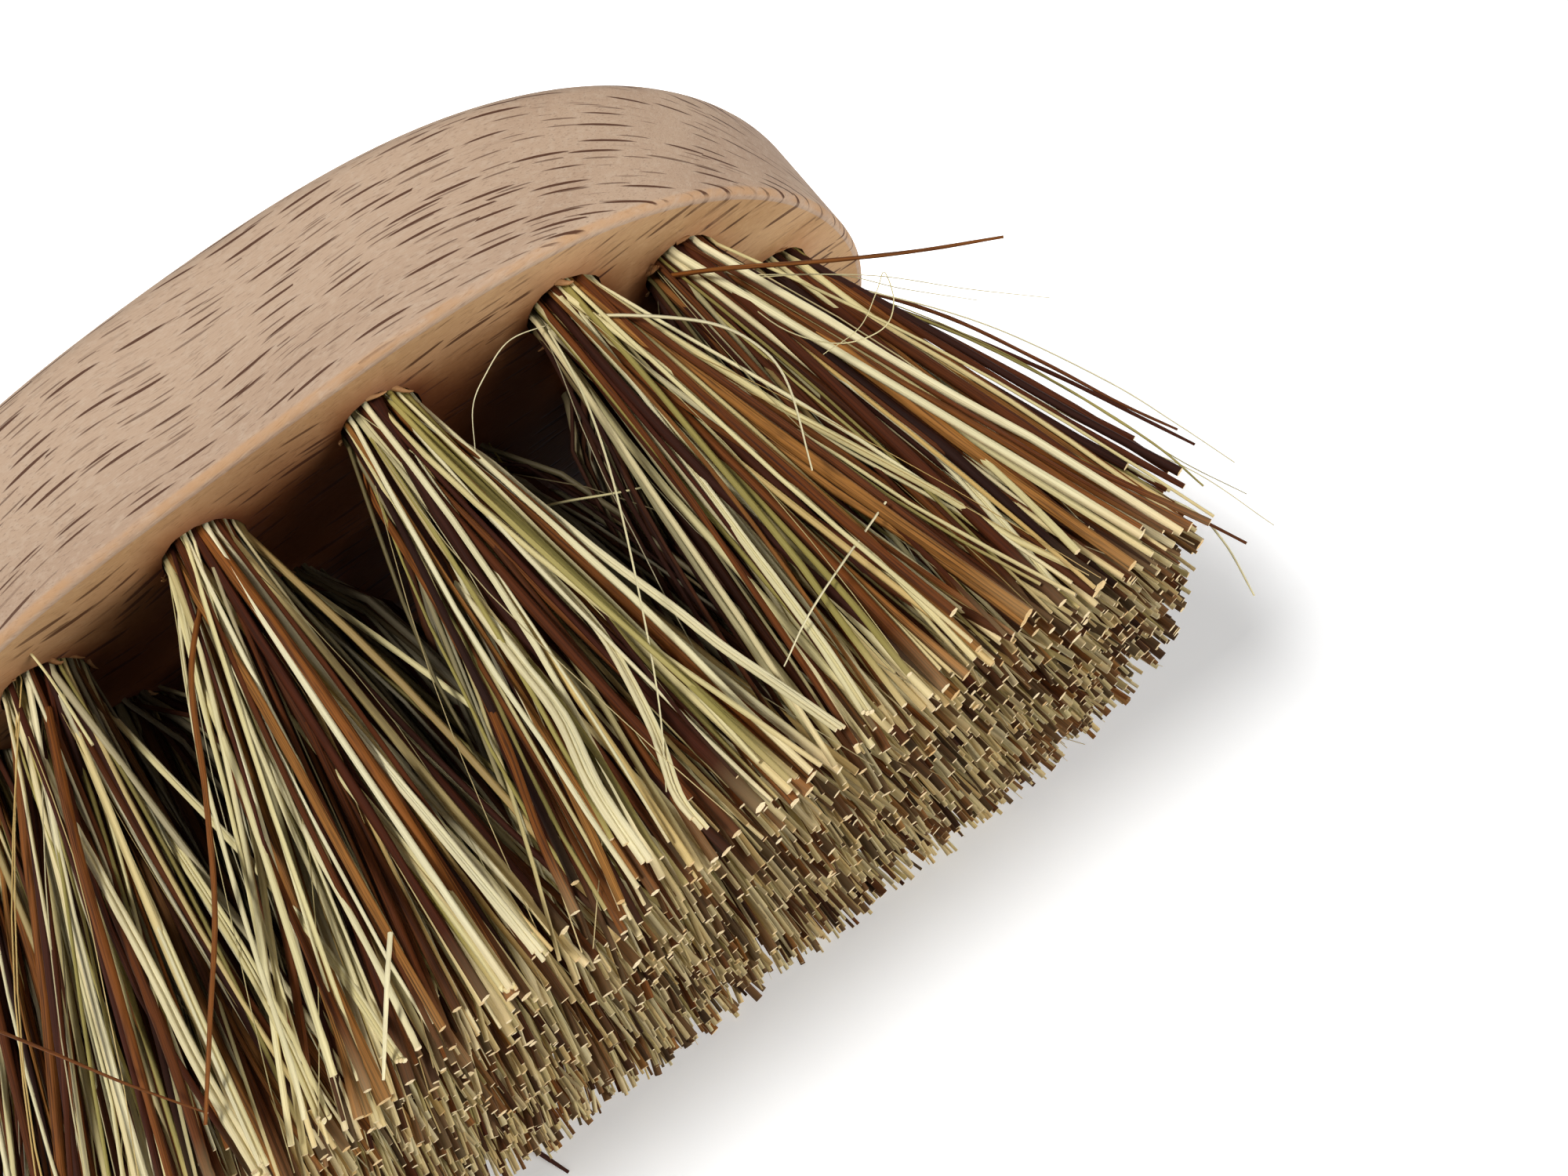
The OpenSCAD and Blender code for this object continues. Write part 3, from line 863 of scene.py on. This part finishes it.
def leader_line(pixels, half):
    """A line from inside the hole to the trim plane, along the pixels of the photograph."""
    first = on_plane(*pixels[0], UNDER_Z)
    last = on_plane(*pixels[-1], random.uniform(*LEADER_TIP) * MM)
    mouth = min((p["mouth"] for p in PLACES), key=lambda m: np.hypot(*(m - first[:2])))
    off = first[:2] - mouth
    first[:2] = mouth + off * min(1.0, (HOLE_R - half * MM) / (np.linalg.norm(off) + 1e-9))
    on_way = pixels[1:-1]
    if last[1] < FRONT_TIPS:
        # The photograph is cut off before this strand ends, so it runs straight on to the trim plane
        cut = np.array(at_pixel(*pixels[-1], FRONT_TIPS / MM))
        last = first + (cut - first) * (first[2] - last[2]) / (first[2] - cut[2])
        on_way = pixels[1:]
    line = [np.array([*(mouth + (first[:2] - mouth) * 0.7), UNDER_Z + LEADER_IN]), first]
    for x, y in on_way:
        share = np.hypot(x - pixels[0][0], y - pixels[0][1])
        share /= np.hypot(pixels[-1][0] - pixels[0][0], pixels[-1][1] - pixels[0][1])
        depth = first[1] + (last[1] - first[1]) * min(share, 1.0) * 0.96
        line.append(np.array(at_pixel(x, y, depth / MM)))
    return np.array(smooth_line(line + [last], 5 * len(line)))


strays = Strands()
for kind, half, pixels in LEADERS:
    line = leader_line(pixels, half)
    parts = 3 if kind == PALE and half > SPLIT_ABOVE else 1
    own = half / (SPLIT_THIN if parts > 1 else 1.0)
    for part in range(parts):
        apart = np.array(cam_right * (part - 1) + cam_up * random.uniform(-0.6, 0.6)) * own * SPLIT_APART * MM
        grow = np.linspace(0.5, 1.0, len(line))[:, None] * random.uniform(0.8, 1.5)
        shifted = line + apart * grow if parts > 1 else line
        broad = [own * MM * random.uniform(0.9, 1.1) for _ in line]
        strays.add(shifted[:len(line) - random.choice((0, 0, 1))], broad, kind,
                   random.uniform(0.25, 0.8) if kind == PALE else random.uniform(0.0, 0.6), 6,
                   random.uniform(0.5, 0.9), random.uniform(0, 3), LEADER_BLEACH)
for kind, half, points in STRAYS:
    line = smooth_line([at_pixel(*q) for q in points], 6 * len(points))
    taper = [half * MM * (1 - 0.45 * (i / (len(line) - 1)) ** 2) * random.uniform(0.93, 1.07)
             for i in range(len(line))]
    strays.add(line, taper, kind, random.uniform(0.25, 0.7), 6 if half > 0.15 else 4,
               random.uniform(0.7, 1.0))
strays.piece("fibre_strays")

# Slivers of torn wood that stand up round the mouths of the holes
SLIVER_POINTS = 5
# The slivers carry a little painted shade as well
SLIVER_WOOD_SHADE = 0.25
SLIVER_LENGTH, SLIVER_DROP = (0.5, 1.5), (0.2, 0.9)   # mm
SLIVER_LEAN, SLIVER_WIDTH = (-0.1, 0.35), (0.12, 0.4)
slivers = Strands()
for place in PLACES:
    for _ in range(random.choice((3, 4, 5, 6))):
        t = random.uniform(0, TURN)
        way = np.array([math.cos(t), math.sin(t)])
        along = np.array([-way[1], way[0]])
        start = place["mouth"] + way * (HOLE_R + 0.1 * MM)
        length = random.uniform(*SLIVER_LENGTH) * MM
        drop = random.uniform(*SLIVER_DROP) * MM
        lean_out = random.uniform(*SLIVER_LEAN) * MM
        line = []
        for i in range(SLIVER_POINTS):
            q = i / (SLIVER_POINTS - 1)
            xy = start + along * length * q + way * lean_out * q * q
            line.append((*xy, UNDER_Z + 0.12 * MM - drop * math.sin(q * 1.6)))
        width = random.uniform(*SLIVER_WIDTH) * MM
        taper = [width * (1 - 0.8 * i / (SLIVER_POINTS - 1)) for i in range(SLIVER_POINTS)]
        slivers.add(line, taper, 0, random.random(), 5, 0.45, t)
add_piece("beech_slivers", slivers.points, slivers.faces, [0] * len(slivers.faces), [WOODS[RAW]],
          {"inner": [SLIVER_WOOD_SHADE] * len(slivers.points)})

# The CAD's staples keep their shape and get a drawn-wire finish; the replaced solids get theirs too
finishes = {"staples": wire(), "block": WOODS[WALL], **{name: FIBRES[PALE] for name in TUFTS}}
for name, finish in finishes.items():
    nodes[name].data.materials.clear()
    nodes[name].data.materials.append(finish)

# ---------------------------------------------------------------- stage
STAGE_WHITE = 0.95
SHEET_HALF = 3.0
# How much white a stage sheet shows by itself, so that it is white where no shadow falls
TABLE_GLOW = 0.2
FLOOR_GLOW = 0.5
MIDDLE = (0.01, 0, 0.03)          # the middle of the brush, at which the lamps look too
WHITE_FROM, WHITE_BY = 0.1, 0.4   # m from there, over which a sheet turns wholly white
TABLE_CLEAR = 30 * MM             # and the height above which it does so within CLEAR_RISE
FLOOR_CLEAR = 1.0
CLEAR_RISE = 25 * MM
TABLE_GAP = 1.5 * MM              # between the CAD's tips and the sheet behind them


def stage_sheet(name, centre, way, bounces, own_glow, clear_above):
    """A one-sided sheet: it shows shadows on the side that way points to, and is clear from its back."""
    n = Net(bpy.data.materials.new(name))
    geometry = n.new("ShaderNodeNewGeometry").outputs
    away = n.vmath("LENGTH", n.vmath("SUBTRACT", geometry["Position"], MIDDLE))
    above = n.step(n.component(geometry["Position"], 2), clear_above, clear_above + CLEAR_RISE)
    white = n.math("MAXIMUM", n.step(away, WHITE_FROM, WHITE_BY), above)
    level = n.plus(own_glow, n.times(white, 1 - own_glow))
    seen = n.new("ShaderNodeLightPath").outputs["Is Camera Ray"]
    glow = n.new("ShaderNodeEmission", {"Strength": n.times(seen, level)})
    diffuse = n.new("ShaderNodeBsdfDiffuse", {"Color": (STAGE_WHITE, STAGE_WHITE, STAGE_WHITE, 1)})
    both = n.new("ShaderNodeAddShader", {0: diffuse.outputs[0], 1: glow.outputs[0]})
    clear = n.new("ShaderNodeBsdfTransparent")
    sides = {0: geometry["Backfacing"], 1: both.outputs[0], 2: clear.outputs[0]}
    n.end("ShaderNodeOutputMaterial", n.new("ShaderNodeMixShader", sides).outputs[0])
    z = Vector(way).normalized()
    x = z.orthogonal().normalized()
    y = z.cross(x)
    mesh = bpy.data.meshes.new(name)
    corners = [Vector(centre) + x * a * SHEET_HALF + y * b * SHEET_HALF
               for a, b in ((-1, -1), (1, -1), (1, 1), (-1, 1))]
    mesh.from_pydata(corners, [], [(0, 1, 2, 3)])
    mesh.materials.append(n.owner)
    o = bpy.data.objects.new(name, mesh)
    bpy.context.scene.collection.objects.link(o)
    o.visible_shadow = False
    o.visible_diffuse = bounces
    o.visible_glossy = False


stage_sheet("floor", (0, 0, 0), (0, 0, 1), False, FLOOR_GLOW, FLOOR_CLEAR)
stage_sheet("table_side", (0, cad_box[1].y + TABLE_GAP, 0), (0, -1, 0), True, TABLE_GLOW, TABLE_CLEAR)

# The world is white to the camera, in reflections and through clear surfaces, and lights the brush dimly
WORLD_LIGHT = 0.1
world = Net(bpy.data.worlds.new("studio"))
bpy.context.scene.world = world.owner
ray = world.new("ShaderNodeLightPath").outputs
shown = world.math("MAXIMUM", ray["Is Camera Ray"], ray["Is Glossy Ray"])
shown = world.math("MAXIMUM", shown, ray["Is Transmission Ray"])
lit, white = (world.new("ShaderNodeBackground", {"Color": (1, 1, 1, 1), "Strength": strength}).outputs[0]
              for strength in (WORLD_LIGHT, 1.0))
world.end("ShaderNodeOutputWorld", world.new("ShaderNodeMixShader", {0: shown, 1: lit, 2: white}).outputs[0])


def softbox(name, at, size, watts):
    """A round lamp that looks at the middle of the brush."""
    data = bpy.data.lights.new(name, "AREA")
    data.shape = "DISK"
    data.size = size
    data.energy = watts
    o = bpy.data.objects.new(name, data)
    bpy.context.scene.collection.objects.link(o)
    o.location = at
    o.rotation_mode = "QUATERNION"
    o.rotation_quaternion = (Vector(MIDDLE) - Vector(at)).to_track_quat("-Z", "Y")


softbox("key", (-0.27, -1.0, 0.12), 0.26, 8.6)
softbox("fill", (0.28, -0.2, -0.46), 0.2, 2.4)
softbox("back", (-0.15, 0.7, 0.7), 0.6, 4.2)

bpy.context.scene.view_settings.view_transform = "Standard"
